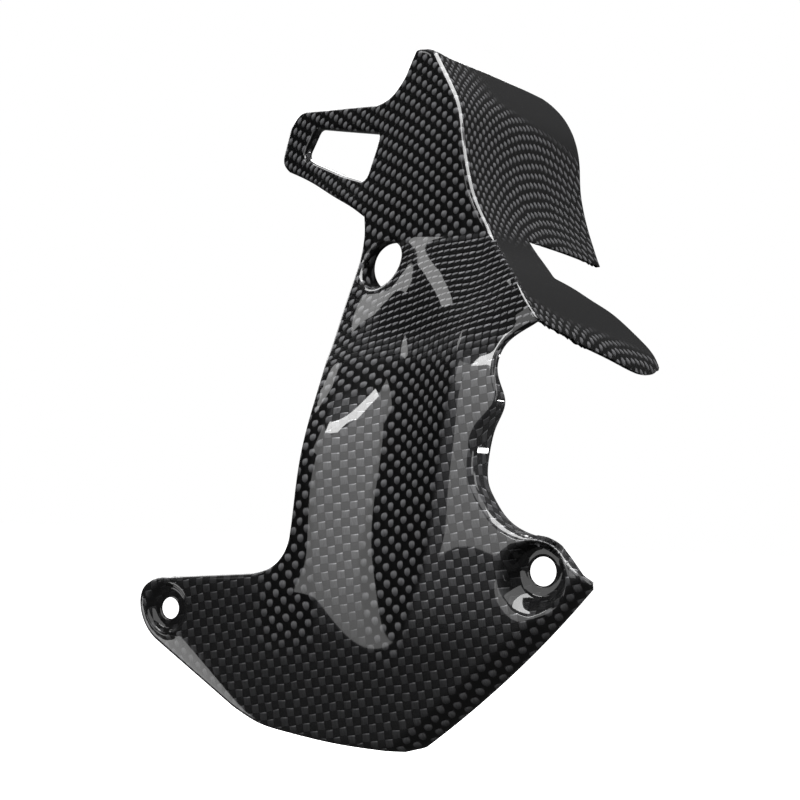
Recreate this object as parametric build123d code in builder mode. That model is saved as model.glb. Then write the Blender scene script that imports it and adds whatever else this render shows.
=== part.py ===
"""Carbon fibre cover that bolts over a motorcycle's front sprocket, moulded as one thin shell.

Millimetres. X runs to the right along the plate, Y runs back towards the engine and Z is up.
The points below are measured from the main bolt's axis and the front face of the flat plate. The
finished cover is then moved, so that the floor of the main bolt's seat lies at the origin.
"""
from math import cos, radians, sin, tan
import os

from build123d import *

os.makedirs("parts", exist_ok=True)

# Laminate
wall = 1.6  # thickness of the laminate, measured straight back
mould_depth = 150.0  # the mould reaches this far back, past the longest edge of the side panel

# Bolt holes, each in the floor of a dished seat
main_bore = 6.6
main_seat = 16.6  # width of the dish at the face
main_seat_shift = (-0.4, -1.6)  # its centre from the bolt's axis, to clear the corner's edge
main_floor = 11.5  # width of its flat floor
main_dish = 5.2  # how deep the floor lies
lug_across = -100.3  # from the main bolt to the lug's bolt
lug_up = -13.3
lug_bore = 5.3
lug_seat = 13.0
lug_floor = 9.6
lug_dish = 1.6

# Access bore through the neck
neck_bore = 12.6
neck_bore_x = -61.4
neck_bore_z = 73.5
neck_bore_back = 40.0  # how far back its tube ends

# Edges that turn back towards the engine
window_rim = 3.5

# Lines up the cover that every level of the mould's face passes through, left to right
lines = (-118, -88, -70, -59, -48, -37, -24, -8, 22)

# How far back the face lies on those lines, at each height of the plate, neck and shoulder
plate_levels = {
    -46: (0, 0, 0, 0, 0, 0, 0, 0, 0),
    -20: (0, 0, 0, 0, 0, 0, 0, 0, 0),
    -6: (0, 0, 0, 0, 0.8, 0.8, 0, 0, 0),
    8: (0, 0, 1.2, 0.6, 3.6, 3, 0.7, 0.5, 0.5),
    24: (6, 5, 3.8, 2.2, 7.6, 6.3, 2, 2, 2),
    40: (30, 20, 12.5, 10, 12.2, 10.4, 4.2, 4, 4),
    56: (40, 30, 23, 20.6, 20, 15.8, 11.2, 9.5, 9),
    68: (48.5, 37, 30, 28, 25, 21.7, 19, 13, 8.5),
    80: (54.5, 42, 36.3, 34.8, 32, 29.5, 26, 19, 13),
    96: (64.5, 52, 46, 44, 41, 39, 35, 29, 23),
}
# The same for the steeper top, which meets the shoulder in a crease
top_levels = {
    62: (48.5, 37, 32, 31, 28.5, 26, 22, 17, 11),
    80: (55.5, 43, 36.3, 34.8, 32, 29.5, 26, 21, 13),
    100: (63.5, 51, 43.7, 40.2, 36.7, 33.5, 29.2, 24, 15),
    118: (66.5, 56, 49, 45.2, 41.4, 37.7, 33.5, 28, 19),
    136: (71.5, 60, 54, 50, 46, 42, 37.5, 32, 24),
}

# Bevels along the two lower edges: a point on the fold (across, up), the fold's climb from left to
# right in degrees, and how far the bevel leans back in degrees
right_fold = (6.2, -4.5)
right_fold_climb = 41.7
right_bevel = 42.0
left_fold = (-98.5, -16.7)
left_fold_climb = -39.8
left_bevel = 22.0

# Front outline as (across, up), from the tip down the right side and round
tip = (-64, 132.3)
tip_round = (-60, 132)
crease = [(-55.7, 130), (-48, 120.4), (-43.8, 114.2), (-40.4, 105), (-37.3, 96.7), (-33.9, 89.3),
          (-29.8, 82.9), (-25.2, 77), (-17.3, 69.6), (-9.3, 61.5), (-4.7, 56.4)]
neck_right = [(-4.7, 56.4), (-6.6, 55.4), (-9.5, 53.8), (-12.5, 51), (-13.6, 47.2), (-13.5, 44.5),
              (-12.6, 41.3), (-12, 37.9), (-13.3, 35), (-15.6, 31.4), (-16.7, 27.1), (-16.8, 22.7),
              (-16, 19), (-13.8, 15.5), (-10.4, 11.6), (-4.6, 8.4), (1.4, 6.8), (5.2, 5), (8.4, 2.4),
              (13, -1.8)]
corner_top = neck_right[-1]
flange_fade = (0.5, 1, 0)
corner_bottom = (12.7, -3.4)
lower_right_middle = (-10.4, -26.2)
toe = (-28.6, -41.3)
heel = [(-33, -42.6), (-51.4, -42), (-64.7, -40.5), (-73.3, -38.9), (-81, -35.9)]
lug_below = (-105.8, -21.8)
lug_end = (-110.2, -16)
lug_above = (-101.6, -5.7)
neck_left = [(-76, -3.6), (-69.8, -1.4), (-66.7, 2.5), (-65.7, 8), (-65.3, 22), (-66.3, 38), (-69.1, 57),
             (-70.1, 73), (-70.4, 82), (-71.8, 87)]
loop_lower = [(-77.3, 90), (-86.3, 94), (-99.4, 100), (-110.2, 104.2)]
loop_end = [(-113.2, 107), (-113, 112), (-112.1, 117)]
loop_upper = [(-108.4, 121), (-103.8, 121.2), (-89.1, 120), (-75.6, 118.8)]
loop_shoulder = [(-75.6, 118.8), (-70.6, 120.4), (-66.6, 125)]

# Window in the loop, and the radius of its corners
window_corners = [(-72, 110), (-100.4, 115.5), (-104.2, 107.9), (-98.5, 105.2), (-85, 100.2),
                  (-74.2, 97)]
window_corner_radius = 1.2

# The side panel runs straight back from the crease, and its tongue carries the crease's line on
tongue = [(0, 51.5), (3.5, 47), (5.5, 43)]

# Outline of the side panel and its tongue as (back, up)
panel_front_top = (-20, 132)
panel_top = [(40, 131), (88, 129.4), (104, 128), (112.8, 126)]
panel_back = [(106.3, 114.2), (103.8, 106.4), (98.7, 96.5), (94.7, 88.6), (86.5, 78)]
lobe_bottom = [(69, 79.4), (48.5, 80.2)]
notch_front = [(46.8, 75), (43.2, 70)]
tongue_back = [(49.9, 68), (54.2, 65.9), (61, 62.9), (65.2, 58.2), (66.7, 53.5), (62.5, 48.2)]
tongue_front = [(56.7, 46.2), (48.3, 46.1), (38.5, 48.6), (22.5, 52.2), (11, 54.9), (-20, 58)]

# Back edge of the neck's flange as (back, up), which fades out along a slant at the plate's corner
flange_back = [(-20, 64), (13.5, 60), (9.5, 52), (7, 45.5), (8.1, 37.9), (10.3, 31), (9.4, 22), (7.4, 12),
               (6.4, 5), (6, -6), (-20, -6)]


def behind_bevel(fold, climb, lean):
    """Plane of a bevel, whose upper side is kept."""
    fall = tan(radians(lean))
    return Plane(
        origin=(fold[0], 0, fold[1]),
        z_dir=(-fall * sin(radians(climb)), 1, fall * cos(radians(climb))),
    )


# The solid behind the mould's face
with BuildPart() as mould:
    for levels in (plate_levels, top_levels):
        rows = [[(x, y, z) for x, y in zip(lines, depths)] for z, depths in levels.items()]
        extrude(Face.make_surface_from_array_of_points(rows), amount=mould_depth, dir=(0, 1, 0))
    split(bisect_by=Plane.XZ, keep=Keep.BOTTOM)
    split(bisect_by=behind_bevel(right_fold, right_fold_climb, right_bevel), keep=Keep.TOP)
    split(bisect_by=behind_bevel(left_fold, left_fold_climb, left_bevel), keep=Keep.TOP)


def mould_back_by(distance):
    """The mould moved straight back."""
    return mould.part.moved(Location((0, distance, 0)))


def in_seam(points):
    """Points moved into the thickness of the wall that runs back from them."""
    return [(x - wall / 3, z - wall / 3) for x, z in points]


def wall_section(points):
    """Section of a wall whose outer side passes through the points and runs down the cover."""
    outer = Spline(*points)
    steps = 2 * len(points)
    inner_points = []
    for step in range(steps + 1):
        place = outer @ (step / steps)
        along = outer % (step / steps)
        inner_points.append((place.X + wall * along.Y, place.Y - wall * along.X))
    inner = Spline(*inner_points)
    Line(outer @ 0, inner @ 0)
    Line(outer @ 1, inner @ 1)


# Window in the loop
with BuildSketch(Plane.XZ) as window:
    with BuildLine():
        Polyline(*window_corners, close=True)
    make_face()
    fillet(window.vertices(), window_corner_radius)

# Skin: all that lies ahead of the laminate's back, inside the front outline
with BuildPart() as skin:
    with BuildSketch(Plane.XZ) as outline:
        with BuildLine():
            ThreePointArc(tip, tip_round, in_seam(crease)[0])
            Spline(*in_seam(crease))
            Spline(*in_seam(neck_right))
            Polyline(in_seam(neck_right)[-1], corner_bottom)
            ThreePointArc(corner_bottom, lower_right_middle, toe)
            Line(toe, heel[0])
            Spline(*heel)
            Line(heel[-1], lug_below)
            ThreePointArc(lug_below, lug_end, lug_above)
            Line(lug_above, neck_left[0])
            Spline(*neck_left)
            Spline(neck_left[-1], *loop_lower)
            Spline(loop_lower[-1], *loop_end)
            Spline(loop_end[-1], *loop_upper)
            Spline(*loop_shoulder)
            Line(loop_shoulder[-1], tip)
        make_face()
        offset(window.sketch, amount=wall / 2, mode=Mode.SUBTRACT)
    extrude(amount=mould_depth, both=True)
    add(mould_back_by(wall), mode=Mode.SUBTRACT)

# Side panel and tongue, running straight back from the crease
with BuildPart() as side_panel:
    with BuildSketch(Plane.XZ):
        with BuildLine():
            wall_section(crease + tongue)
        make_face()
    extrude(amount=mould_depth, both=True)
    with BuildSketch(Plane.YZ):
        with BuildLine():
            Spline(panel_front_top, *panel_top)
            Spline(panel_top[-1], *panel_back)
            Spline(panel_back[-1], *lobe_bottom)
            Spline(lobe_bottom[-1], *notch_front)
            Spline(notch_front[-1], *tongue_back)
            Spline(tongue_back[-1], *tongue_front)
            Line(tongue_front[-1], panel_front_top)
        make_face()
    extrude(amount=mould_depth, both=True, mode=Mode.INTERSECT)

# Flange that turns back along the right side of the neck
with BuildPart() as flange:
    with BuildSketch(Plane.XZ):
        with BuildLine():
            wall_section(neck_right)
        make_face()
    extrude(amount=mould_depth, both=True)
    with BuildSketch(Plane.YZ):
        with BuildLine():
            Line(flange_back[0], flange_back[1])
            Spline(*flange_back[1:-1])
            Polyline(flange_back[-2], flange_back[-1], flange_back[0])
        make_face()
    extrude(amount=mould_depth, both=True, mode=Mode.INTERSECT)
    split(bisect_by=Plane(origin=(corner_top[0], wall, 0), z_dir=flange_fade), keep=Keep.BOTTOM)

# Rim that turns back around the window
with BuildPart() as rim:
    with BuildSketch(Plane.XZ):
        offset(window.sketch, amount=wall)
        add(window.sketch, mode=Mode.SUBTRACT)
    extrude(amount=mould_depth, both=True)
    add(mould_back_by(window_rim), mode=Mode.SUBTRACT)

# Dished bolt seats: the cup that stands behind the face, and the hollow and hole cut into it
seats = (
    ((0, 0), main_seat_shift, main_seat, main_floor, main_dish, main_bore),
    ((lug_across, lug_up), (0, 0), lug_seat, lug_floor, lug_dish, lug_bore),
)


def seat_circle(centre, shift, width, back):
    """Circle at a seat, this far behind the face."""
    with BuildSketch(Plane.XZ.offset(-back)) as circle:
        with Locations((centre[0] + shift[0], centre[1] + shift[1])):
            Circle(width / 2)
    return circle.sketch


with BuildPart() as cups:
    for centre, shift, seat, floor, dish, bore in seats:
        front = seat_circle(centre, shift, seat + 2 * wall, -wall)
        loft([front, seat_circle(centre, (0, 0), floor + 2 * wall, dish + wall)])
    extrude(outline.sketch, amount=mould_depth, both=True, mode=Mode.INTERSECT)
with BuildPart() as hollows:
    for centre, shift, seat, floor, dish, bore in seats:
        front = seat_circle(centre, shift, seat, 0)
        loft([front, seat_circle(centre, (0, 0), floor, dish)])
        extrude(seat_circle(centre, (0, 0), bore, -wall), amount=-dish - 3 * wall)

# Access bore: a tube straight back from the face of the neck
bore_plane = Plane(origin=(neck_bore_x, 0, neck_bore_z), z_dir=(0, 1, 0))
with BuildPart() as bore_tube:
    with BuildSketch(bore_plane):
        Circle(neck_bore / 2 + wall)
    extrude(amount=neck_bore_back)
with BuildPart() as bore_hole:
    with BuildSketch(bore_plane):
        Circle(neck_bore / 2)
    extrude(amount=mould_depth)

# The one moulded shell
with BuildPart() as sprocket_cover:
    for piece in (skin, side_panel, flange, rim, cups, bore_tube):
        add(piece.part, clean=False)
    add(mould.part, mode=Mode.INTERSECT, clean=False)
    for cut in (hollows, bore_hole):
        add(cut.part, mode=Mode.SUBTRACT, clean=False)

cover = sprocket_cover.part.moved(Location((0, -main_dish, 0)))
cover.label = "sprocket_cover"
export_step(cover, "parts/sprocket_cover.step")
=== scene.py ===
"""Looks of the carbon fibre sprocket cover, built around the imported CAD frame.

The cover is one sheet: its front skin, the edges that roll back from it, the side panel, the neck's
flange, the window's rim and the bore's tube. A solidify modifier gives the sheet its thickness.
Lengths are millimetres until the mesh is made. Places are (across, up), or (back, up) on the side
panel and the flange. Depths count from the plate's face, which lies ahead of the part's origin.
"""
from math import cos, pi, radians, sin, tan

import bpy
import numpy as np
from mathutils import Matrix, Vector
from mathutils.geometry import delaunay_2d_cdt


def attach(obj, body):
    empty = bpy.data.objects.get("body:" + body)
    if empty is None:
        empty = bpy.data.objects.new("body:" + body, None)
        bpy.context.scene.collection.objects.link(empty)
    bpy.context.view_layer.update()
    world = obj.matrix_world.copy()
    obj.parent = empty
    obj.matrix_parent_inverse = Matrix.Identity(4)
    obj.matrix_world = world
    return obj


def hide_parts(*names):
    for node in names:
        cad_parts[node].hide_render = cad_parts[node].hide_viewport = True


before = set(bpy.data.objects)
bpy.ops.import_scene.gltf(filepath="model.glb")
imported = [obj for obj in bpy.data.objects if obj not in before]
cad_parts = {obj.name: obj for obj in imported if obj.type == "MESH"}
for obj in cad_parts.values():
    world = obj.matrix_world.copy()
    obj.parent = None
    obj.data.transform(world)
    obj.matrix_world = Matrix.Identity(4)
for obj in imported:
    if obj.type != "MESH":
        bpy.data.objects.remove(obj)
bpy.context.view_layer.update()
MM = 0.001

# ---- Sizes, near those in the part's source ----
wall = 1.6
seat_floor = 5.2  # the plate's face lies this far ahead of the origin
main_seat = dict(centre=(0, 0), shift=(-0.4, -1.6), face=8.3, floor=5.75, dish=5.2, bore=3.3)
lug_seat = dict(centre=(-100.3, -13.3), shift=(0, 0), face=6.5, floor=4.8, dish=1.6, bore=2.65)
seats = (main_seat, lug_seat)
neck_bore = dict(centre=(-61.4, 73.5), radius=6.3, back=40.0)
window_rim, window_round = 3.5, 1.8  # the rim's depth and the corners' radius

# Radii of the edges that roll back, those of the crease and the flange as pairs of height and radius
roll = 1.5
rim_roll = 1.2  # round the window and the bore
crease_rolls = ((56, 0.5), (70, 0.6), (80, 1.3), (90, 2.0), (131, 2.0))
flange_rolls = ((-6, 1.5), (8, 2.4), (27, 2.4), (35, 0.8), (57, 1.2))
roll_angles = np.radians([0, 15, 30, 45, 60, 73, 83])  # where rings of points lie on a roll
outline_rounds, panel_rounds = 12, 40  # how often radii are averaged along an edge

# How far back the face lies, by height, at these places across
lines = (-118, -88, -70, -59, -48, -37, -24, -8, 22)
plate_levels = {
    -46: (0, 0, 0, 0, 0, 0, 0, 0, 0),
    -20: (0, 0, 0, 0, 0.2, 0.2, 0, 0, 0),
    -6: (0, 0, 0, 0, 1.2, 1.4, 0, 0, 0),
    8: (0, 0, 1.2, 0.6, 3.6, 3, 0.45, 0.2, 0.2),
    24: (6, 5, 3.8, 2.2, 7.6, 6.3, 2, 2, 2),
    40: (30, 20, 12.5, 10, 12.2, 10.4, 4.2, 4, 4),
    56: (40, 30, 23, 20.6, 20, 15.8, 11.2, 9.5, 9),
    68: (48.5, 37, 30, 27.5, 25, 21.7, 19, 13, 8.5),
    80: (54.5, 42, 36.5, 35.1, 32, 29.5, 26, 19, 13),
    96: (64.5, 52, 46, 44, 41, 39, 35, 29, 23),
}
top_levels = {
    62: (48.5, 37, 32, 31, 28.5, 26, 22, 17, 11),
    80: (55.5, 43, 36.5, 35.1, 32, 29.5, 26, 21, 13),
    100: (63.5, 51, 43.7, 40.2, 36.7, 33.5, 29.2, 24, 15),
    118: (66.5, 56, 49, 45.2, 41.4, 37.7, 33.5, 28, 19),
    136: (71.5, 60, 54, 50, 46, 42, 37.5, 32, 24),
}
levels_meet = 0.5  # how softly the plate's and the shoulder's levels meet
shoulder_low = 70  # the shoulder's levels count from this height
bevels = (((6.2, -4.5), 41.7, 42.0), ((-98.5, -16.7), -39.8, 22.0))  # a point, the climb and the lean
bevel_meet, face_meet, dish_meet = 0.35, 0.12, 0.16  # how softly these meet the plate
lug_ring_flat = (5.6, 8.2)  # the bevel fades between these distances from the lug's hole

# Soft folds of the neck: height, place across, and how strong the fold is there
left_fold = ((-8, -57, 0), (0, -58.5, 0.08), (14, -59, 0.16), (29.5, -59, 0.16), (45, -60, 0.11),
             (56, -58.5, 0.09), (66, -54, 0.13), (76, -53, 0.13), (84, -54, 0.06), (92, -56, 0))
upper_fold = ((48, -23, 0), (53.5, -28, 0.08), (60, -34.5, 0.1), (68, -42, 0.1), (75, -49, 0.1),
              (80, -54, 0))
corner_fold = ((60, -30, 0), (68, -34, 0.1), (76, -36, 0.12), (84, -38, 0.08), (90, -40, 0))
right_fold = ((-30, -34.5, 0), (-14.5, -32.5, 0.1), (2, -27.5, 0.45), (15, -26, 0.8),
              (31, -24.8, 1.3), (41.5, -24, 1.8), (50, -24, 1.8), (62, -25, 0))
fold_reach, fold_soft = 8, 1.0  # a fold pushes one side back, mostly within this reach
ridge_reach, ridge_round = 6, 1.2  # the right fold is a ridge instead

tip = (-64, 132.3)
tip_round = (-60, 132)
crease = [(-55.7, 130), (-48, 120.4), (-43.8, 114.2), (-40.4, 105), (-37.3, 96.7), (-33.9, 89.3),
          (-29.8, 82.9), (-25.2, 77), (-17.3, 69.6), (-9.3, 61.5), (-4.7, 56.4)]
neck_right = [(-4.7, 56.4), (-6.6, 55.4), (-9.5, 53.8), (-12.5, 51), (-13.6, 47.2), (-13.5, 44.5),
              (-12.6, 41.3), (-12, 37.9), (-13.3, 35), (-15.6, 31.4), (-16.7, 27.1), (-16.8, 22.7),
              (-16, 19), (-13.8, 15.5), (-10.4, 11.6), (-4.6, 8.4), (1.4, 6.8), (5.2, 5), (8.4, 2.4),
              (13, -1.8)]
corner_bottom = (12.7, -3.4)
lower_right_middle = (-10.4, -26.2)
toe = (-28.6, -41.3)
heel = [(-33, -42.6), (-51.4, -42), (-64.7, -40.5), (-73.3, -38.9), (-81, -35.9)]
lug_below = (-105.8, -21.8)
lug_end = (-110.2, -16)
lug_above = (-101.6, -5.7)
neck_left = [(-76, -3.6), (-69.8, -1.4), (-66.7, 2.5), (-65.7, 8), (-65.3, 22), (-66.3, 38),
             (-69.1, 57), (-70.1, 73), (-70.4, 82), (-71.8, 87)]
loop_lower = [(-71.8, 87), (-77.3, 90), (-86.3, 94), (-99.4, 100), (-110.2, 104.2)]
loop_end = [(-110.2, 104.2), (-113.2, 107), (-113, 112), (-112.1, 117)]
loop_upper = [(-112.1, 117), (-108.4, 121), (-103.8, 121.2), (-89.1, 120), (-75.6, 118.8)]
loop_shoulder = [(-75.6, 118.8), (-70.6, 120.4), (-66.6, 125)]
window_corners = [(-72, 110), (-100.4, 115.5), (-104.2, 107.9), (-98.5, 105.2), (-85, 100.2),
                  (-74.2, 97)]
tongue = [(0, 51.5), (3.5, 47), (5.5, 43)]
panel_top = [(75, 130), (88, 129.6), (98, 129.3), (105.5, 128.8)]
panel_back = [(105.5, 128.8), (109.4, 127.2), (111.6, 124.2), (110.8, 120.4), (107.5, 115),
              (104.2, 107.8), (98.9, 98.5), (94.9, 89.4), (86.5, 78)]
lobe_bottom = [(86.5, 78), (69, 79.4), (48.5, 80.2)]
notch_front = [(48.5, 80.2), (46.8, 75), (43.2, 70)]
tongue_back = [(43.2, 70), (49.9, 68), (54.2, 65.9), (61, 62.9), (65.2, 58.2), (66.7, 54), (64.5, 49.8)]
tongue_front = [(64.5, 49.8), (57.5, 47.7), (48.3, 47.4), (38.5, 49.8), (22.5, 53.4)]
side_rolls = [(1.0, 1.0), (1.0, 1.0), (1.4, 0.6), (1.0, 0.8), (1.4, 0.8), (4.4, 0.62)]  # radius, turn
flange_back = [(13.5, 60), (9.5, 52), (7, 45.5), (8.1, 37.9), (10.3, 31), (9.4, 22), (7.4, 12),
               (6.4, 5), (6, -6)]
flange_fade = 0.5
flange_start = 6  # the flange grows to its depth over this distance from the fork
panel_roll_start = 5  # and the panel's rolled edges over this distance from the crease

# ---- Mesh and weave settings ----
step = 0.8  # spacing of points along edges
cell = 1.1  # spacing of points inside
row_pitch = cell * 0.866  # spacing of their rows, for even triangles
dish_inset, dish_outset, dish_step = 0.6, 1.9, 0.45  # rings of points round the bolt holes
dish_clear, roll_clear = 2.0, 0.35  # how far the points inside keep off dishes and rolls
panel_clear = 0.6  # and off the side panel's edges
hole_points = (56, 40, 36)  # round the bore, the main bolt's hole and the lug's
thinnest, edge_share = 0.2, 0.35  # how far the sheet thins at the bolt holes and at free edges
tow = 2.0  # width of a tow
weave_turn = radians(10.7)  # the weave's turn on the plate
weave_start = (-40, -10)  # where on the plate it is measured from
lean, rise, droop = 0.12, 0.95, 0.014  # how the weave runs on the side panel, away from the crease
faired_left, faired_low, faired_pitch = -126, -56, 2.0  # the grid that smooths the levels


# ---- Curves ----
def spline_weights(knots, at):
    """How much the value at each knot counts in the smooth curve through them, at each place."""
    knots, at = np.array(knots, float), np.array(at, float)
    count, gap = len(knots), np.diff(knots)
    left, right = np.eye(count), np.zeros((count, count))
    for i in range(1, count - 1):
        left[i, i - 1:i + 2] = gap[i - 1], 2 * (gap[i - 1] + gap[i]), gap[i]
        right[i, i - 1:i + 2] = 6 / gap[i - 1], -6 / gap[i - 1] - 6 / gap[i], 6 / gap[i]
    bend = np.linalg.solve(left, right)
    i = np.clip(np.searchsorted(knots, at, side="right") - 1, 0, count - 2)
    b = ((at - knots[i]) / gap[i])[:, None]
    a = 1 - b
    one = np.eye(count)
    size = gap[i][:, None] ** 2 / 6
    return a * one[i] + b * one[i + 1] + ((a**3 - a) * bend[i] + (b**3 - b) * bend[i + 1]) * size


def spline(points):
    """Points one step apart on the smooth curve through the given ones."""
    points = np.array(points, float)
    along = np.concatenate([[0], np.cumsum(np.linalg.norm(np.diff(points, axis=0), axis=1))])
    count = max(2, round(along[-1] / step) + 1)
    return spline_weights(along, np.linspace(0, along[-1], count)) @ points


def line(*points):
    """Points one step apart on straight runs through the given ones."""
    runs = []
    for a, b in zip(np.array(points[:-1], float), np.array(points[1:], float)):
        count = max(1, round(np.linalg.norm(b - a) / step))
        runs.append(a + (b - a) * np.arange(count)[:, None] / count)
    return np.vstack(runs + [np.array(points[-1:], float)])


def circle(centre, radius, count):
    turn = np.arange(count) * 2 * pi / count
    return np.array(centre) + radius * np.column_stack([np.cos(turn), np.sin(turn)])


def arc(a, b, c):
    """Points one step apart on the arc from a through b to c."""
    a, b, c = (np.array(p, float) for p in (a, b, c))
    grid = 2 * np.array([b - a, c - a])
    centre = np.linalg.solve(grid, [b @ b - a @ a, c @ c - a @ a])
    radius = np.linalg.norm(a - centre)
    start, middle, end = (np.arctan2(*(p - centre)[::-1]) for p in (a, b, c))
    turn = (end - start) % (2 * pi)
    if (middle - start) % (2 * pi) > turn:
        turn -= 2 * pi
    count = max(2, round(abs(turn) * radius / step) + 1)
    at = start + turn * np.linspace(0, 1, count)
    return centre + radius * np.column_stack([np.cos(at), np.sin(at)])


def rounded(corners, radius):
    """A closed outline with its corners rounded."""
    corners = np.array(corners, float)
    points = []
    for before, corner, after in zip(np.roll(corners, 1, 0), corners, np.roll(corners, -1, 0)):
        to_before = (before - corner) / np.linalg.norm(before - corner)
        to_after = (after - corner) / np.linalg.norm(after - corner)
        half = np.arccos(to_before @ to_after) / 2
        reach = radius / tan(half)
        middle = corner + (to_before + to_after) / (2 * cos(half)) * (radius / sin(half) - radius)
        bend = arc(corner + to_before * reach, middle, corner + to_after * reach)
        points.extend(tuple(p) for p in bend)
    return line(*points, points[0])[:-1]


def soft_max(a, b, blend):
    return (a + b + np.sqrt((a - b) ** 2 + blend**2)) / 2


def soft_min(a, b, blend):
    return (a + b - np.sqrt((a - b) ** 2 + blend**2)) / 2


def smooth(value, low, high):
    """0 below low, 1 above high, and an even curve between."""
    t = np.clip((value - low) / (high - low), 0, 1)
    return t * t * (3 - 2 * t)


# ---- The face, as how far back it lies at (across, up) ----
def level_depth(levels, points):
    across = spline_weights(lines, points[:, 0])
    up = spline_weights(list(levels), points[:, 1])
    return np.einsum("ni,ij,nj->n", up, np.array(list(levels.values()), float), across)


def faired(levels, spread=4.0):
    """The levels' surface on an even grid, with its small waves smoothed away."""
    across = np.arange(faired_left, 29, faired_pitch)
    up = np.arange(faired_low, 149, faired_pitch)
    x, z = np.meshgrid(across, up)
    heights = level_depth(levels, np.column_stack([x.ravel(), z.ravel()])).reshape(x.shape)
    reach = 8
    steps = np.arange(-reach, reach + 1)
    weights = np.exp(-((steps * faired_pitch) ** 2) / (2 * spread**2))
    weights /= weights.sum()
    for _ in range(2):
        padded = np.vstack([heights[:1]] * reach + [heights] + [heights[-1:]] * reach)
        heights = sum(w * padded[reach + s:reach + s + len(heights)] for w, s in zip(weights, steps)).T
    return heights


def on_grid(heights, points):
    """Smooth value of a faired surface at each point."""
    a = np.clip((points[:, 0] - faired_left) / faired_pitch, 1, heights.shape[1] - 3)
    b = np.clip((points[:, 1] - faired_low) / faired_pitch, 1, heights.shape[0] - 3)
    i, j = a.astype(int), b.astype(int)
    return sum(
        cubic(a - i, k) * cubic(b - j, m) * heights[j - 1 + m, i - 1 + k]
        for m in range(4) for k in range(4)
    )


def cubic(t, k):
    """Weight of the k-th of four neighbours in a smooth curve at t."""
    return ((1 - t) ** 3, 3 * t**3 - 6 * t**2 + 4, -3 * t**3 + 3 * t**2 + 3 * t + 1, t**3)[k] / 6


plate_grid, top_grid = faired(plate_levels), faired(top_levels)


def fold_at(fold, points):
    """How far to the right of a fold each point lies, and how strong the fold is at its height."""
    knots, places, strengths = np.array(fold, float).T
    weights = spline_weights(knots, np.clip(points[:, 1], knots[0], knots[-1]))
    return points[:, 0] - weights @ places, np.maximum(weights @ strengths, 0)


def from_middle(seat, points, share=0.0):
    """Distance from a bolt hole's middle, moved by a share of the shift to its dish's rim."""
    return np.linalg.norm(points - np.array(seat["centre"]) - np.array(seat["shift"]) * share, axis=1)


def past_bevel(bevel, points):
    """How far beyond a bevel's fold line each point lies."""
    start, climb, _ = bevel
    away = points - np.array(start)
    return sin(radians(climb)) * away[:, 0] - cos(radians(climb)) * away[:, 1]


def face_depth(points):
    plate, top = on_grid(plate_grid, points), on_grid(top_grid, points)
    depth = np.where(points[:, 1] < shoulder_low, plate, soft_min(plate, top, levels_meet))
    for fold, side in ((left_fold, -1), (upper_fold, -1), (corner_fold, 1)):
        beside, strength = fold_at(fold, points)
        beyond = soft_max(side * beside, 0.0, fold_soft)
        depth = depth + strength * fold_reach * (1 - np.exp(-beyond / fold_reach))
    beside, strength = fold_at(right_fold, points)
    depth = depth - strength * np.exp(-np.sqrt(beside**2 + ridge_round**2) / ridge_reach)
    depth = soft_max(depth, 0.0, face_meet)
    off_lug = smooth(from_middle(lug_seat, points), *lug_ring_flat)
    for bevel in bevels:
        fall = tan(radians(bevel[2])) * past_bevel(bevel, points) * off_lug
        depth = soft_max(depth, fall, bevel_meet)
    return depth


def dish_depth(points, seat):
    """How much deeper a bolt seat's dish lies."""
    away = points - np.array(seat["centre"])
    lowest, highest, halvings = -0.6, 1.6, 24
    low, high = np.full(len(points), lowest), np.full(len(points), highest)
    for _ in range(halvings):
        middle = (low + high) / 2
        centre = (1 - middle)[:, None] * np.array(seat["shift"])
        radius = seat["face"] + (seat["floor"] - seat["face"]) * middle
        beyond = np.linalg.norm(away - centre, axis=1) > radius
        high = np.where(beyond, middle, high)
        low = np.where(beyond, low, middle)
    deep = soft_max(soft_min(low, 1.0, dish_meet), 0.0, dish_meet)
    outside = soft_max(soft_min(np.array([lowest]), 1.0, dish_meet), 0.0, dish_meet)
    return seat["dish"] * (deep - outside)


def depth_at(points):
    return face_depth(points) + dish_depth(points, main_seat) + dish_depth(points, lug_seat)


# ---- Outlines of the skin ----
def joined(*runs):
    """One closed loop from runs that follow on, with the run's number for each point."""
    points = np.vstack([run[:-1] for run in runs])
    numbers = np.concatenate([np.full(len(run) - 1, i) for i, run in enumerate(runs)])
    return points, numbers


crease_run, flange_run, neck_left_run = 1, 2, 10
outline, outline_run = joined(
    arc(tip, tip_round, crease[0]), spline(crease), spline(neck_right),
    line(neck_right[-1], corner_bottom), arc(corner_bottom, lower_right_middle, toe),
    line(toe, heel[0]), spline(heel), line(heel[-1], lug_below), arc(lug_below, lug_end, lug_above),
    line(lug_above, neck_left[0]), spline(neck_left), spline(loop_lower), spline(loop_end),
    spline(loop_upper), spline(loop_shoulder), line(loop_shoulder[-1], tip),
)
window = rounded(window_corners, window_round)
bore_ring = circle(neck_bore["centre"], neck_bore["radius"], hole_points[0])
main_ring = circle(main_seat["centre"], main_seat["bore"], hole_points[1])
lug_ring = circle(lug_seat["centre"], lug_seat["bore"], hole_points[2])
loops = [outline, window, bore_ring, main_ring, lug_ring]


def inside(points, loop):
    """Which points lie inside a closed loop."""
    found = np.zeros(len(points), bool)
    for (x0, z0), (x1, z1) in zip(loop, np.roll(loop, -1, 0)):
        if z0 == z1:
            continue
        crosses = (points[:, 1] > z0) != (points[:, 1] > z1)
        at = x0 + (points[:, 1] - z0) / (z1 - z0) * (x1 - x0)
        found ^= crosses & (points[:, 0] < at)
    return found


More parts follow.
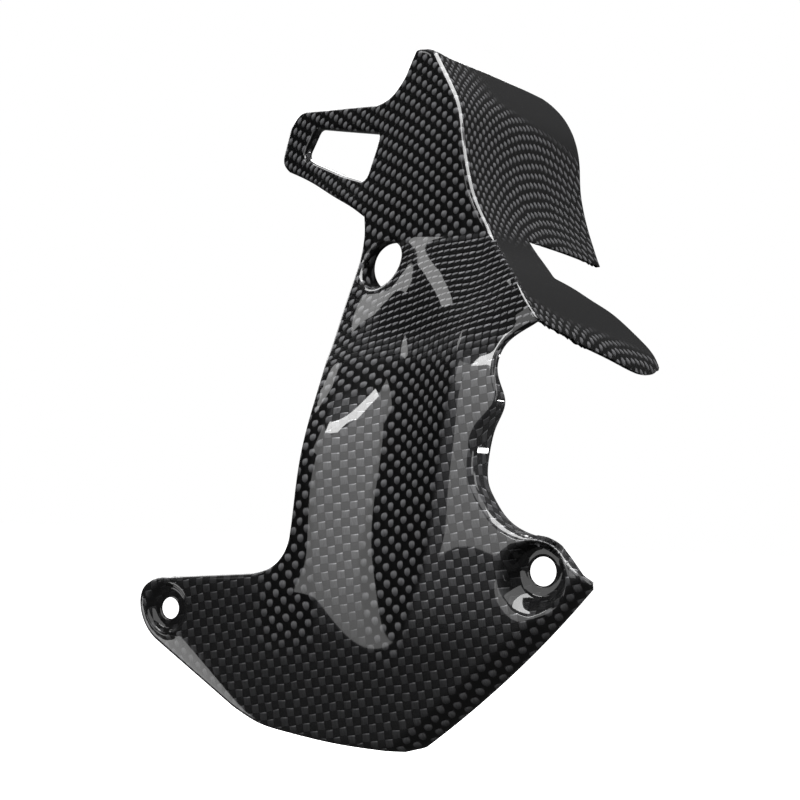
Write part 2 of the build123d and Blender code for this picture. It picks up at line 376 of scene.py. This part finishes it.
def nearest_on(points, loop, closed=True):
    """Distance to the loop, and the number and share of the edge that it is nearest to."""
    best = np.full(len(points), np.inf)
    edge, share = np.zeros(len(points), int), np.zeros(len(points))
    ends = np.roll(loop, -1, 0) if closed else loop[1:]
    for i, (a, b) in enumerate(zip(loop, ends)):
        run = b - a
        t = np.clip(((points - a) @ run) / max(run @ run, 1e-9), 0, 1)
        gap = np.linalg.norm(points - a - t[:, None] * run, axis=1)
        nearer = gap < best
        best[nearer], edge[nearer], share[nearer] = gap[nearer], i, t[nearer]
    return best, edge, share


def normals_of(loop, into_loop, probe=0.2):
    """Unit normals of a loop's points, all into the loop or all out of it."""
    run = np.roll(loop, -1, 0) - np.roll(loop, 1, 0)
    run /= np.linalg.norm(run, axis=1)[:, None]
    normals = np.column_stack([-run[:, 1], run[:, 0]])
    normals[inside(loop + normals * probe, loop) != into_loop] *= -1
    return normals


def smooth_round(values, reach):
    """Values round a loop, each averaged with its neighbours."""
    for _ in range(reach):
        values = (np.roll(values, 1) + 2 * values + np.roll(values, -1)) / 4
    return values


outline_roll = np.full(len(outline), roll)
for number, by_height in ((crease_run, crease_rolls), (flange_run, flange_rolls)):
    radii = np.interp(outline[:, 1], *np.array(by_height).T)
    outline_roll = np.where(outline_run == number, radii, outline_roll)
outline_roll = smooth_round(outline_roll, outline_rounds)
rolls = [outline_roll, np.full(len(window), rim_roll), np.full(len(bore_ring), rim_roll),
         np.zeros(len(main_ring)), np.zeros(len(lug_ring))]

# ---- Points of the skin: its loops, rings where they roll, rings in the dishes, and a grid ----
ring_points, ring_gap = [], []
for number, (loop, radii) in enumerate(zip(loops, rolls)):
    normal = normals_of(loop, number == 0)
    for angle in roll_angles:
        gap = radii * (1 - sin(angle))
        ring_points.append(loop + normal * gap[:, None])
        ring_gap.append(gap)
for seat in seats:
    for radius in np.arange(seat["bore"] + dish_inset, seat["face"] + dish_outset, dish_step):
        share = np.clip((seat["face"] - radius) / (seat["face"] - seat["floor"]), 0, 1)
        centre = np.array(seat["centre"]) + (1 - share) * np.array(seat["shift"])
        ring_points.append(circle(centre, radius, round(2 * pi * radius / step)))
        ring_gap.append(np.zeros(len(ring_points[-1])))
ring_points, ring_gap = np.vstack(ring_points), np.concatenate(ring_gap)


def lattice(low, high):
    """Points between two corners, every second row of them moved along by half a cell."""
    columns, rows = np.arange(low[0], high[0], cell), np.arange(low[1], high[1], row_pitch)
    return np.vstack([
        np.column_stack([columns + (i % 2) * cell / 2, np.full(len(columns), z)])
        for i, z in enumerate(rows)
    ])


grid = lattice((-118, -46), (18, 136))


def clearance(points):
    """Distance to the nearest loop, with that loop's number, edge and share."""
    found = [nearest_on(points, loop) for loop in loops]
    gaps = np.array([f[0] for f in found])
    which = gaps.argmin(0)
    pick = np.arange(len(points))
    edges = np.array([f[1] for f in found])[which, pick]
    shares = np.array([f[2] for f in found])[which, pick]
    return gaps[which, pick], which, edges, shares


def in_skin(points):
    keep = inside(points, outline)
    for loop in loops[1:]:
        keep &= ~inside(points, loop)
    return keep


def roll_radius(which, edges, shares):
    radius = np.zeros(len(which))
    for number, radii in enumerate(rolls):
        mine = which == number
        after = np.roll(radii, -1)
        radius[mine] = radii[edges[mine]] * (1 - shares[mine]) + after[edges[mine]] * shares[mine]
    return radius


# Points of a ring that come too near another loop are left out
gap = clearance(ring_points)[0]
ring_points = ring_points[in_skin(ring_points) & (gap > 0.9 * ring_gap) & (gap > 0.004)]
grid = grid[in_skin(grid)]
gap, which, edges, shares = clearance(grid)
grid = grid[gap > roll_radius(which, edges, shares) + roll_clear]
for seat in seats:
    grid = grid[from_middle(seat, grid, 0.5) > seat["face"] + dish_clear]

flat_points = np.vstack(loops + [ring_points, grid])
edge_list, loop_start, start = [], [], 0
for loop in loops:
    loop_start.append(start)
    count = len(loop)
    edge_list += [(start + i, start + (i + 1) % count) for i in range(count)]
    start += count
cut = delaunay_2d_cdt([Vector(p) for p in flat_points], edge_list, [], 0, 1e-6)
flat = np.array([tuple(v) for v in cut[0]])
triangles = np.array(cut[2])
triangles = triangles[in_skin(flat[triangles].mean(1))]
index_of = {}
for new, olds in enumerate(cut[3]):
    for old in olds:
        index_of[old] = new

# ---- Raise the skin ----
gap, which, edges, shares = clearance(flat)
radius = roll_radius(which, edges, shares)
share = np.clip((radius - gap) / np.maximum(radius, 1e-6), 0, 1)
turn = np.arcsin(share)
roll_back = radius * (1 - np.cos(turn))
extra = radius * (turn - share)  # how much longer the rolled surface is than its plan
depth = depth_at(flat)
back = depth + roll_back - seat_floor


# ---- Where the weave lies: distances along the surface on turned axes ----
def turned(away):
    """Directions on the weave's axes."""
    return np.column_stack([
        away[:, 0] * cos(weave_turn) + away[:, 1] * sin(weave_turn),
        -away[:, 0] * sin(weave_turn) + away[:, 1] * cos(weave_turn),
    ])


def unturned(points):
    """The place on the plate of points on the weave's axes."""
    return np.column_stack([
        points[:, 0] * cos(weave_turn) - points[:, 1] * sin(weave_turn),
        points[:, 0] * sin(weave_turn) + points[:, 1] * cos(weave_turn),
    ]) + np.array(weave_start)


grid_a, grid_b = np.arange(-90, 90.1, 1.0), np.arange(-60, 160.1, 1.0)
mesh_a, mesh_b = np.meshgrid(grid_a, grid_b)
heights = face_depth(unturned(np.column_stack([mesh_a.ravel(), mesh_b.ravel()]))).reshape(mesh_a.shape)
steep_a = np.sqrt(1 + np.gradient(heights, 1.0, axis=1) ** 2)
steep_b = np.sqrt(1 + np.gradient(heights, 1.0, axis=0) ** 2)
across = np.cumsum(steep_a, axis=1) - steep_a / 2
across -= across[:, [int(np.argmin(abs(grid_a)))]]
upward = np.cumsum(steep_b, axis=0) - steep_b / 2
upward -= upward[[int(np.argmin(abs(grid_b)))], :]


def sampled(values, points):
    """Values of the weave's grid at each point."""
    a = np.clip(points[:, 0] - grid_a[0], 0, len(grid_a) - 1.001)
    b = np.clip(points[:, 1] - grid_b[0], 0, len(grid_b) - 1.001)
    i, j = a.astype(int), b.astype(int)
    s, t = a - i, b - j
    low = values[j, i] * (1 - s) + values[j, i + 1] * s
    high = values[j + 1, i] * (1 - s) + values[j + 1, i + 1] * s
    return low * (1 - t) + high * t


def drape(points):
    """Distances along the surface to each point."""
    at = turned(points - np.array(weave_start))
    return np.column_stack([sampled(across, at), sampled(upward, at)])


outward_of = [normals_of(loop, number > 0) for number, loop in enumerate(loops)]
outward = np.zeros_like(flat)
for number in range(len(loops)):
    mine = which == number
    outward[mine] = outward_of[number][edges[mine]]
skin_weave = drape(flat) + turned(outward) * extra[:, None]

vertices = [(x, y, z) for (x, z), y in zip(flat, back)]
faces = [tuple(int(i) for i in t) for t in triangles]
corner_weave = [tuple(map(tuple, skin_weave[t])) for t in triangles]


def add_strip(loop_number, picks, ends, closed):
    """Wall that runs straight back from part of a loop, from where it has rolled to its back edge."""
    firsts = [index_of[loop_start[loop_number] + i] for i in picks]
    count = int(np.ceil((ends - [vertices[first][1] for first in firsts]).max()))
    least = 0.02 * count  # so that no quad is flat
    columns = []
    for first, end, out in zip(firsts, ends, turned(outward_of[loop_number][picks])):
        x, y, z = vertices[first]
        column = [(first, skin_weave[first])]
        for k in range(1, count + 1):
            deeper = (max(end, y + least) - y) * k / count
            vertices.append((x, y + deeper, z))
            column.append((len(vertices) - 1, skin_weave[first] + out * deeper))
        columns.append(column)
    for a, b in zip(columns, columns[1:] + columns[:1] if closed else columns[1:]):
        for k in range(count):
            quad = (a[k], b[k], b[k + 1], a[k + 1])
            faces.append(tuple(q[0] for q in quad))
            corner_weave.append(tuple(tuple(q[1]) for q in quad))


def face_at(loop):
    return depth_at(loop) - seat_floor


add_strip(1, np.arange(len(window)), face_at(window) + window_rim, True)
tube_first = len(faces)
tube_back = np.full(len(bore_ring), neck_bore["back"] - seat_floor)
add_strip(2, np.arange(len(bore_ring)), tube_back, True)
tube_end = len(faces)

# The neck's flange
picks = np.flatnonzero(outline_run == flange_run)
picks = np.append(picks, picks[-1] + 1)
places = outline[picks]
heights_of = np.array([z for _, z in flange_back])[::-1]
flange_knots = spline_weights(heights_of, np.clip(places[:, 1], heights_of[0], heights_of[-1]))
ends = flange_knots @ np.array([y for y, _ in flange_back], float)[::-1]
ends = np.minimum(ends, wall + flange_fade * (neck_right[-1][0] - places[:, 0]))
fork = np.clip(np.arange(len(picks)) * step / flange_start, 0, 1)
rolled = face_at(places) + seat_floor + outline_roll[picks]
ends = rolled + (np.maximum(ends, rolled) - rolled) * fork
add_strip(0, picks, ends - seat_floor, False)

# ---- Side panel and tongue ----
crease_picks = np.flatnonzero(outline_run == crease_run)
crease_picks = np.append(crease_picks, crease_picks[-1] + 1)
crease_points = outline[crease_picks]
whole_line = spline(crease + tongue)
line_along = np.concatenate([[0], np.cumsum(np.linalg.norm(np.diff(whole_line, axis=0), axis=1))])


def along_of_height(z):
    """How far along the crease, from its upper end, each height lies."""
    return np.interp(-np.asarray(z, float), -whole_line[:, 1], line_along)


def place_of_along(s):
    """The place, across and up, at each distance along the crease."""
    return np.column_stack([np.interp(s, line_along, column) for column in whole_line.T])


crease_index = [index_of[i] for i in crease_picks]
crease_along = along_of_height(crease_points[:, 1])
front_edge = np.array([[vertices[i][1] + seat_floor, s] for i, s in zip(crease_index, crease_along)])
side_runs = (panel_top, panel_back, lobe_bottom, notch_front, tongue_back, tongue_front)
side_curves = [spline(run) for run in side_runs]
side = np.vstack([c[:-1] for c in side_curves] + [side_curves[-1][-1:]])
side = np.column_stack([side[:, 0], along_of_height(side[:, 1])])
top_edge = line(front_edge[0], side[0])
lower_edge = line(side[-1], front_edge[-1])
free_edge = np.vstack([top_edge[1:-1], side, lower_edge[1:-1]])
panel_loop = np.vstack([front_edge[::-1], free_edge])
count_front = len(front_edge)

# Radius and turn of the rolled edge at each point of the panel's loop
side_shape = [np.tile(shape, (len(curve) - 1, 1)) for shape, curve in zip(side_rolls, side_curves)]
edge_shape = np.vstack([
    np.tile(side_rolls[0], (count_front + len(top_edge) - 1, 1)),
    np.vstack(side_shape)[1:],
    side_rolls[-1:],
    np.tile(side_rolls[2], (len(lower_edge), 1)),
])[:len(panel_loop)]
edge_shape = np.column_stack([smooth_round(column, panel_rounds) for column in edge_shape.T])
normal = normals_of(panel_loop, True, 0.15)
rings = np.vstack([
    (panel_loop + normal * edge_shape[:, :1] * (1 - sin(angle)))[count_front:] for angle in roll_angles
])
panel_grid = lattice(panel_loop.min(0), panel_loop.max(0))
panel_grid = panel_grid[inside(panel_grid, panel_loop)]
panel_grid = panel_grid[nearest_on(panel_grid, panel_loop)[0] > panel_clear]
rings = rings[inside(rings, panel_loop)]
rings = rings[nearest_on(rings, panel_loop)[0] > 0.01]
panel_points = np.vstack([panel_loop, rings, panel_grid])
count = len(panel_loop)
edge_list = [(i, (i + 1) % count) for i in range(count)]
cut = delaunay_2d_cdt([Vector(p) for p in panel_points], edge_list, [], 0, 1e-6)
panel_flat = np.array([tuple(v) for v in cut[0]])
panel_triangles = np.array(cut[2])
panel_triangles = panel_triangles[inside(panel_flat[panel_triangles].mean(1), panel_loop)]

places = place_of_along(panel_flat[:, 1])
run = place_of_along(panel_flat[:, 1] + 0.5) - place_of_along(panel_flat[:, 1] - 0.5)
run /= np.linalg.norm(run, axis=1)[:, None]
inner = np.column_stack([run[:, 1], -run[:, 0]])
free_gap, edge, _ = nearest_on(panel_flat, free_edge, closed=False)
front_gap = nearest_on(panel_flat, front_edge, closed=False)[0]
fade = np.clip(front_gap / panel_roll_start, 0, 1)
size, turn_share = (edge_shape[count_front:][edge] * np.column_stack([fade, np.ones(len(fade))])).T
share = np.clip((size - free_gap) / np.maximum(size, 1e-6), 0, 1) * turn_share
sink = size * (1 - np.sqrt(1 - share**2))
places = places + inner * sink[:, None]

# The weave goes on round the crease, and its rows curve as they leave it
crease_weave = skin_weave[crease_index]
middle, reach = len(crease_index) // 2, 30
tail, head = front_edge[middle - reach], front_edge[middle + reach]
weave_tail, weave_head = crease_weave[middle - reach], crease_weave[middle + reach]
flat_angle = np.arctan2(*(head - tail)[::-1])
weave_angle = np.arctan2(*(weave_head - weave_tail)[::-1])
spin = weave_angle + flat_angle
mirror = np.array([[cos(spin), sin(spin)], [sin(spin), -cos(spin)]])
bend = np.column_stack([lean * front_gap, rise * front_gap - droop * front_gap**2])
panel_weave = (panel_flat + bend - front_edge[middle]) @ mirror.T + crease_weave[middle]

panel_first = len(vertices)
panel_index = {}
for new, olds in enumerate(cut[3]):
    shared = [o for o in olds if o < count_front]
    if shared:
        panel_index[new] = crease_index[count_front - 1 - shared[0]]
    else:
        x, z = places[new]
        vertices.append((x, panel_flat[new, 0] - seat_floor, z))
        panel_index[new] = len(vertices) - 1
for t in panel_triangles:
    faces.append(tuple(panel_index[int(i)] for i in t))
    corner_weave.append(tuple(map(tuple, panel_weave[t])))

# ---- The mesh ----
mesh = bpy.data.meshes.new("cover")
mesh.from_pydata([(x * MM, y * MM, z * MM) for x, y, z in vertices], [], faces)
weave_map = mesh.uv_layers.new(name="weave")
weave_spots = np.array([corner for face in corner_weave for corner in face]) / tow
weave_map.uv.foreach_set("vector", weave_spots.astype(np.float32).ravel())
at_x, at_y, at_z = np.array(vertices, float).T
at_face = np.arange(len(vertices)) < panel_first
at = np.column_stack([at_x, at_z])

# Where the weave is painted as shining crowns instead of squares, between and beside the flat facets
veil_right = np.interp(at_z, (-24, 0, 14, 41), (-41, -46, -45.5, -45))
left_veil = smooth(fold_at(left_fold, at)[0], -1, 1) * smooth(veil_right - at_x, -1, 1)
left_veil = left_veil * (1 - smooth(at_z, 37, 42))
right_veil = smooth(fold_at(right_fold, at)[0], -1, 1) * (1 - smooth(at_z, 47, 51))
crown_sheen = smooth(at_z, -26, -14) * np.maximum(smooth(at_x, -76, -68), smooth(at_z, 10, 20))
crown_sheen = crown_sheen * (1 - left_veil) * (1 - right_veil)
for bevel in bevels:
    crown_sheen = np.maximum(crown_sheen, 0.8 * smooth(past_bevel(bevel, at), -1, 1.5))
crown_sheen = np.where(at_face, crown_sheen, 1)

# Painted sheen on the neck's two flat facets, where the clear coat's veils lie
veil_sheen = at_face * np.maximum(left_veil, right_veil) * smooth(at_z, -20, 0)

# Painted shade in the bolt seats' dishes, where the squares are lost in the dark
from_seat = [from_middle(seat, at, 0.7) - seat["face"] for seat in seats]
seat_shade = at_face * (1 - smooth(np.min(from_seat, 0), -1.2, 0.8))

# Where only the crowns' upper ends shine, as painted glints, under the shoulder
ends_only = at_face * smooth(at_z, 46, 56) * (1 - smooth(at_z, 77.5, 79.5)) * smooth(at_x, -62, -54)

# Where the coat is thick and the weave hardly shows, at the panel's far corner and along the tongue
along = along_of_height(at_z)
back_of = at_y + seat_floor
corner = smooth(15.5 + 0.3 * (back_of - 68) - along, -3, 4) * smooth(back_of, 55, 70)
border = np.interp(back_of, (13, 24, 40, 50, 63), (83, 90, 92.5, 94.5, 98))
lobe = smooth(back_of, 44, 52) * (1 - smooth(along, 70, 76))
tongue_top = smooth(along, 54, 62) * smooth(border - along, -2, 3) * (1 - lobe)
faint = np.where(at_face, 0, np.maximum(corner, tongue_top))

painted = dict(crown_sheen=crown_sheen, ends_only=ends_only, faint=faint, seat_shade=seat_shade, veil_sheen=veil_sheen)
for name, values in painted.items():
    mesh.attributes.new(name, "FLOAT", "POINT").data.foreach_set("value", values.astype(np.float32))
cover = bpy.data.objects.new("cover", mesh)
bpy.context.scene.collection.objects.link(cover)
bpy.context.view_layer.objects.active = cover
cover.select_set(True)
bpy.ops.object.mode_set(mode="EDIT")
bpy.ops.mesh.select_all(action="SELECT")
bpy.ops.mesh.normals_make_consistent(inside=False)
bpy.ops.object.mode_set(mode="OBJECT")
cover.data.shade_smooth()


# ---- Materials ----
def set_inputs(node, values):
    for name, value in values.items():
        node.inputs[name].default_value = value


class Nodes:
    """Short ways to add nodes to a material or the world."""

    def __init__(self, tree):
        self.tree = tree

    def add(self, kind, **settings):
        node = self.tree.nodes.new(kind)
        for key, value in settings.items():
            setattr(node, key, value)
        return node

    def put(self, value, socket):
        if isinstance(value, bpy.types.NodeSocket):
            self.tree.links.new(value, socket)
        else:
            socket.default_value = value

    def math(self, operation, *values):
        node = self.add("ShaderNodeMath", operation=operation)
        for value, socket in zip(values, node.inputs):
            self.put(value, socket)
        return node.outputs[0]

    def blend(self, share, a, b):
        """A number between a and b, or a colour if they are tuples."""
        data_type, socket_type = ("RGBA", "RGBA") if isinstance(b, tuple) else ("FLOAT", "VALUE")
        node = self.add("ShaderNodeMix", data_type=data_type)
        self.put(share, node.inputs["Factor"])
        ends = [i for i in node.inputs if i.type == socket_type and i.name in ("A", "B")]
        self.put(a, ends[0])
        self.put(b, ends[1])
        return [o for o in node.outputs if o.type == socket_type][0]

    def ramp(self, value, low, high, to_low=0.0, to_high=1.0):
        """Smooth step from one value to another."""
        node = self.add("ShaderNodeMapRange", interpolation_type="SMOOTHSTEP")
        names = ("Value", "From Min", "From Max", "To Min", "To Max")
        for given, name in zip((value, low, high, to_low, to_high), names):
            self.put(given, node.inputs[name])
        return node.outputs[0]

    def noise(self, vector, scale, detail=2.0):
        node = self.add("ShaderNodeTexNoise")
        self.put(vector, node.inputs["Vector"])
        set_inputs(node, {"Scale": scale, "Detail": detail})
        return node.outputs["Fac"]

    def painted(self, name):
        """A value that the mesh keeps at its points."""
        return self.add("ShaderNodeAttribute", attribute_name=name).outputs["Fac"]


def carbon(name):
    """Plain weave of flat tows under a clear coat."""
    material = bpy.data.materials.new(name)
    material.use_nodes = True
    n = Nodes(material.node_tree)
    shader = material.node_tree.nodes["Principled BSDF"]
    weave = n.add("ShaderNodeUVMap", uv_map="weave").outputs["UV"]
    split = n.add("ShaderNodeSeparateXYZ")
    n.put(weave, split.inputs[0])
    wander = n.math("MULTIPLY_ADD", n.noise(weave, 0.35), 0.5, -0.25)
    across = n.math("ADD", split.outputs["X"], wander)
    upward = n.math("SUBTRACT", split.outputs["Y"], wander)
    column, row = n.math("FLOOR", across), n.math("FLOOR", upward)
    warp_over = n.math("FLOORED_MODULO", n.math("ADD", column, row), 2.0)
    x = n.math("MULTIPLY_ADD", n.math("FRACT", across), 2.0, -1.0)
    y = n.math("MULTIPLY_ADD", n.math("FRACT", upward), 2.0, -1.0)
    wide, tall = n.math("ABSOLUTE", x), n.math("ABSOLUTE", y)

    # Tones of the weave, as shares of white, most of them painted reflections of the lamps
    weft_tone, warp_tone, end_tone, bright_end = 0.007, 0.021, 0.08, 0.13
    crown_low, crown_high, black, faint_tone = 0.025, 0.105, 0.0018, 0.008

    # Fine filaments along each tow
    strands = n.add("ShaderNodeCombineXYZ")
    n.put(n.math("MULTIPLY", n.blend(warp_over, upward, across), 22.0), strands.inputs["X"])
    n.put(n.math("MULTIPLY", n.blend(warp_over, across, upward), 1.4), strands.inputs["Y"])
    n.put(n.math("MULTIPLY", warp_over, 7.3), strands.inputs["Z"])
    filaments = n.ramp(n.noise(strands.outputs[0], 1.0, 1.0), 0.3, 0.7, 0.75, 1.2)

    # Squares, the warp's painted paler by reflection, with a painted highlight where they dive under
    rim = n.ramp(n.math("MAXIMUM", wide, tall), 0.80, 1.0, 1.0, 0.45)
    square = n.math("MULTIPLY", n.blend(warp_over, weft_tone, warp_tone), rim)
    end = n.math("MULTIPLY", n.ramp(y, 0.68, 0.82), n.ramp(wide, 0.75, 1.0, 1.0, 0.0))
    end = n.math("MULTIPLY", end, n.ramp(x, -1.0, 1.0, 0.2, 1.0))
    end = n.math("MULTIPLY", n.math("MULTIPLY", end, warp_over), end_tone)
    flat_tone = n.math("ADD", square, end)
    # Painted sheen: the squares are paler under the coat's veils on the neck's facets
    flat_tone = n.math("MULTIPLY", flat_tone, n.math("MULTIPLY_ADD", n.painted("veil_sheen"), 1.8, 1.0))

    # Painted highlights on the warp's round crowns, on black, brighter towards their upper ends
    girth = n.math("DIVIDE", wide, n.math("MULTIPLY_ADD", y, 0.12, 0.98))
    length = n.math("DIVIDE", tall, 1.10)
    spread = n.math("ADD", n.math("POWER", girth, 2.3), n.math("POWER", length, 2.3))
    shine = n.ramp(y, -1.0, 0.9, crown_low, crown_high)
    crown = n.math("MULTIPLY", n.ramp(spread, 0.4, 1.0, 1.0, 0.0), shine)
    # Painted glints at the crowns' upper ends
    lit_end = n.math("MULTIPLY_ADD", x, -0.25, y)
    lit_end = n.math("MULTIPLY", n.ramp(lit_end, 0.25, 0.7), n.ramp(lit_end, 0.95, 1.15, bright_end, 0.0))
    ends_only = n.painted("ends_only")
    crown = n.blend(ends_only, crown, n.math("MULTIPLY", lit_end, n.ramp(wide, 0.6, 1.0, 1.0, 0.0)))
    either = n.blend(ends_only, warp_over, n.blend(warp_over, 0.7, 1.0))
    round_tone = n.math("ADD", n.math("MULTIPLY", crown, either), black)
    tone = n.math("MULTIPLY", n.blend(n.painted("crown_sheen"), flat_tone, round_tone), filaments)
    tone = n.blend(n.painted("faint"), tone, faint_tone)
    # Painted shade: darker in the bolt seats' dishes
    tone = n.blend(n.painted("seat_shade"), tone, n.math("MULTIPLY_ADD", tone, 0.15, 0.004))
    colour = n.add("ShaderNodeCombineColor")
    n.put(tone, colour.inputs["Red"])
    n.put(tone, colour.inputs["Green"])
    n.put(n.math("MULTIPLY", tone, 1.04), colour.inputs["Blue"])
    n.put(colour.outputs[0], shader.inputs["Base Color"])

    # The tows stand up a little between their crossings, by 0.08 mm
    arch = n.math("COSINE", n.math("MULTIPLY", n.blend(warp_over, x, y), pi / 2))
    fall = n.math("POWER", n.blend(warp_over, tall, wide), 4.0)
    bump = n.add("ShaderNodeBump")
    set_inputs(bump, {"Strength": 1.0, "Distance": 0.08 * MM})
    n.put(n.math("SUBTRACT", arch, n.math("MULTIPLY", fall, 0.6)), bump.inputs["Height"])
    n.put(bump.outputs["Normal"], shader.inputs["Normal"])
    set_inputs(shader, {
        "Roughness": 0.5, "Specular IOR Level": 0.04,
        "Coat Weight": 1.0, "Coat Roughness": 0.03, "Coat IOR": 1.5,
    })
    return material


def inner_face(name):
    """The unpolished back, with the weave faint under a matt resin."""
    material = carbon(name)
    shader = material.node_tree.nodes["Principled BSDF"]
    set_inputs(shader, {"Roughness": 0.6, "Coat Weight": 0.15, "Coat Roughness": 0.4})
    return material


for material in (carbon("carbon"), inner_face("inner_face"), inner_face("cut_edge")):
    cover.data.materials.append(material)
for face in mesh.polygons[tube_first:tube_end]:
    face.material_index = 1

# The sheet's thickness, thinner at the bolt holes and free edges, where its inner face would fold
from_hole = np.min([from_middle(seat, at) - seat["bore"] for seat in seats], 0)
panel_spots = np.column_stack([back_of, along])
plate_edge = outline[(outline_run > flange_run) & (outline_run < neck_left_run)]
from_side = np.where(
    at_face,
    nearest_on(at, plate_edge, closed=False)[0],
    nearest_on(panel_spots, free_edge, closed=False)[0],
)
full_wall = edge_share + (1 - edge_share) * smooth(from_side, 0, 4)
full_wall = np.minimum(smooth(from_hole, -0.2, 2.0), full_wall)
sheet = cover.vertex_groups.new(name="sheet")
for i, full in enumerate(full_wall):
    sheet.add([i], float(full), "REPLACE")
thick = cover.modifiers.new("thickness", "SOLIDIFY")
thick.vertex_group = "sheet"
thick.thickness_vertex_group = thinnest
thick.thickness = wall * MM
thick.offset = -1
thick.use_even_offset = False
thick.use_rim = True
thick.material_offset = 1
thick.material_offset_rim = 2

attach(cover, "root")
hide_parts("sprocket_cover")

# ---- Camera at the photograph's angle ----
camera_data = bpy.data.cameras.new("camera")
camera_data.lens = 90
camera_data.sensor_width = 36
camera = bpy.data.objects.new("camera", camera_data)
bpy.context.scene.collection.objects.link(camera)
yaw, pitch = radians(31), radians(3.1)
right = Vector((cos(yaw), sin(yaw) * cos(pitch), sin(yaw) * sin(pitch)))
up = Vector((0, -sin(pitch), cos(pitch)))
behind = right.cross(up)
place = Vector((0.2010, -0.3974, 0.0165))
camera.matrix_world = Matrix((
    (right.x, up.x, behind.x, place.x),
    (right.y, up.y, behind.y, place.y),
    (right.z, up.z, behind.z, place.z),
    (0, 0, 0, 1),
))
bpy.context.scene.camera = camera

# ---- Light, floor and background, which is white to the camera and dim to everything else ----
scene = bpy.context.scene
scene.view_settings.view_transform = "Standard"
target = Vector((-0.045, 0.02, 0.045))


def direction(side, height):
    """Unit vector at an angle to the right of straight ahead of the plate, and an angle above level."""
    side, height = radians(side), radians(height)
    return Vector((sin(side) * cos(height), -cos(side) * cos(height), sin(height)))


def softbox(name, side, height, distance, width, tall, brightness, aim=target, lift=0.0):
    """A lit panel that faces the aim. The lift raises it without turning it."""
    light = bpy.data.lights.new(name, "AREA")
    light.shape = "RECTANGLE"
    light.size, light.size_y = width, tall
    light.energy = brightness * pi * width * tall
    lamp = bpy.data.objects.new(name, light)
    lamp.location = aim + direction(side, height) * distance + Vector((0, 0, lift))
    lamp.rotation_euler = direction(side, height).to_track_quat("Z", "Y").to_euler()
    scene.collection.objects.link(lamp)


# Three panels in front that touch at their sides
front_distance = 1.13
front_width = 2 * front_distance * tan(radians(11))
for side in (-22, 0, 22):
    softbox("front panel", side, 0, front_distance, front_width, 1.016, 2.0, lift=0.457)

# Angles to the right and above, distance, width and height in metres, and brightness
softbox("left panel", -40.5, 34.5, 1.2, 0.26, 0.27, 2.0)
softbox("bright strip", -19, 43, 1.2, 0.44, 0.10, 15.0)
softbox("small left panel", -82, 39, 1.2, 0.165, 0.147, 2.6)
softbox("top panel", 60, 82, 1.2, 0.9, 0.9, 11.0)
softbox("right panel", 75, 50, 1.3, 1.1, 0.6, 2.2)
softbox("low right panel", 94, 6, 1.2, 0.45, 0.5, 3.0)
softbox("low left card", -74, -24.6, 0.2, 0.10, 0.10, 2.4, aim=Vector((-0.098, -0.003, -0.03)))
softbox("small back lamp", 150, -5, 1.2, 0.08, 0.05, 25.0)
softbox("left back panel", -135, 35, 1.3, 0.9, 0.9, 4.0)
softbox("right back panel", 125, 25, 1.3, 0.6, 0.6, 3.0)

# Nearly black to everything but the camera, so that it doesn't light the cover
floor_mesh = bpy.data.meshes.new("floor")
floor_mesh.from_pydata([(-6, -6, 0), (6, -6, 0), (6, 6, 0), (-6, 6, 0)], [], [(0, 1, 2, 3)])
floor = bpy.data.objects.new("floor", floor_mesh)
floor.location = (0, 0, -0.16)
scene.collection.objects.link(floor)
floor_material = bpy.data.materials.new("floor")
floor_material.use_nodes = True
n = Nodes(floor_material.node_tree)
pale = floor_material.node_tree.nodes["Principled BSDF"]
set_inputs(pale, {"Specular IOR Level": 0.0, "Roughness": 0.9})
seen = n.add("ShaderNodeLightPath").outputs["Is Camera Ray"]
far = n.add("ShaderNodeVectorMath", operation="LENGTH")
n.put(n.add("ShaderNodeTexCoord").outputs["Object"], far.inputs[0])
n.put(n.blend(seen, (0.03, 0.03, 0.03, 1), (0.9, 0.9, 0.9, 1)), pale.inputs["Base Color"])
n.put((1, 1, 1, 1), pale.inputs["Emission Color"])
glow = n.ramp(far.outputs["Value"], 0.15, 0.6, 0.1, 1.0)
n.put(n.math("MULTIPLY", seen, glow), pale.inputs["Emission Strength"])
floor.data.materials.append(floor_material)

world = bpy.data.worlds.new("world")
scene.world = world
world.use_nodes = True
n = Nodes(world.node_tree)
background = world.node_tree.nodes["Background"]
background.inputs["Color"].default_value = (1, 1, 1, 1)
facing = n.add("ShaderNodeSeparateXYZ")
n.put(n.add("ShaderNodeTexCoord").outputs["Generated"], facing.inputs[0])
behind_it = n.ramp(facing.outputs["Y"], 0.2, 0.5, 0.01, 0.06)
rays = n.add("ShaderNodeLightPath").outputs
unseen = n.blend(rays["Is Glossy Ray"], 0.35, behind_it)
n.put(n.blend(rays["Is Camera Ray"], unseen, 1.0), background.inputs["Strength"])
